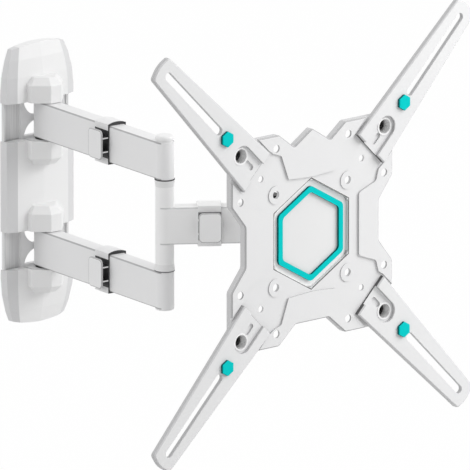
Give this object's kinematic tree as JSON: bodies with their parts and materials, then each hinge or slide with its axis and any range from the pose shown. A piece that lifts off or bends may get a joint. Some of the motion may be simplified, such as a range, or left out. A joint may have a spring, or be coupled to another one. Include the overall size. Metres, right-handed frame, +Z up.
{
  "type": "swivel tv wall mount",
  "caption": "Full-motion wall mount: wall plate with moulded covers, hinged arms, swivel and tilt head, and a screen plate with slotted diagonal arms.",
  "frame": {"origin": "centre of the wall plate's back face, on the wall", "axes": "+X right as seen from the room, +Y into the wall, +Z up"},
  "size_m": [0.4438, 0.3777, 0.4438],
  "materials": {
    "white_steel": "white powder coat, semi-matt",
    "white_plastic": "white moulded plastic, fine grain",
    "turquoise_plastic": "turquoise moulded plastic, satin",
    "zinc_steel": "zinc-plated steel",
    "dark_steel": "black oxide steel",
    "nylon": "black nylon"
  },
  "bodies": {
    "wall_base": {"wall_plate": "white_steel", "upper_hinge_bracket": "white_steel", "lower_hinge_bracket": "white_steel", "upper_hinge_bolt": "zinc_steel", "lower_hinge_bolt": "zinc_steel", "upper_hinge_nut": "zinc_steel", "lower_hinge_nut": "zinc_steel", "upper_hinge_washers": "nylon", "lower_hinge_washers": "nylon", "top_cover": "white_plastic", "middle_cover": "white_plastic", "bottom_cover": "white_plastic"},
    "long_arm_pair": {"upper_arm": "white_steel", "lower_arm": "white_steel", "upper_clip": "white_plastic", "lower_clip": "white_plastic", "elbow_rod": "zinc_steel", "elbow_top_cap": "white_plastic", "elbow_bottom_cap": "white_plastic"},
    "front_link": {"front_arm": "white_steel", "front_clip": "white_plastic", "elbow_top_bush": "white_plastic", "elbow_bottom_bush": "white_plastic"},
    "swivel_head": {"head_bracket": "white_steel", "head_bolt": "zinc_steel", "head_nut": "zinc_steel", "head_washers": "nylon", "tilt_bolt": "zinc_steel", "tilt_nut": "zinc_steel"},
    "screen_carrier": {"tilt_bracket": "white_steel", "screen_plate": "white_steel", "hex_panel": "white_plastic", "accent_ring": "turquoise_plastic", "upper_left_arm": "white_steel", "upper_right_arm": "white_steel", "lower_left_arm": "white_steel", "lower_right_arm": "white_steel", "arm_sleeves": "zinc_steel", "arm_screws": "dark_steel", "arm_nuts": "zinc_steel", "slot_plugs": "turquoise_plastic"}
  },
  "joints": [
    {"name": "wall_hinge", "type": "hinge", "parent": "wall_base", "child": "long_arm_pair", "pos_m": [0, -0.017, 0], "axis": [0, 0, 1], "range_deg": [-84, 95]},
    {"name": "elbow_hinge", "type": "hinge", "parent": "long_arm_pair", "child": "front_link", "pos_m": [-0.02243, -0.23786, 0], "axis": [0, 0, 1], "range_deg": [-109, 26]},
    {"name": "head_swivel", "type": "hinge", "parent": "front_link", "child": "swivel_head", "pos_m": [0.0676, -0.30448, 0], "axis": [0, 0, 1], "range_deg": [-26, 103]},
    {"name": "screen_tilt", "type": "hinge", "parent": "swivel_head", "child": "screen_carrier", "pos_m": [0.0676, -0.33648, 0], "axis": [1, 0, 0], "range_deg": [-5, 12]}
  ]
}
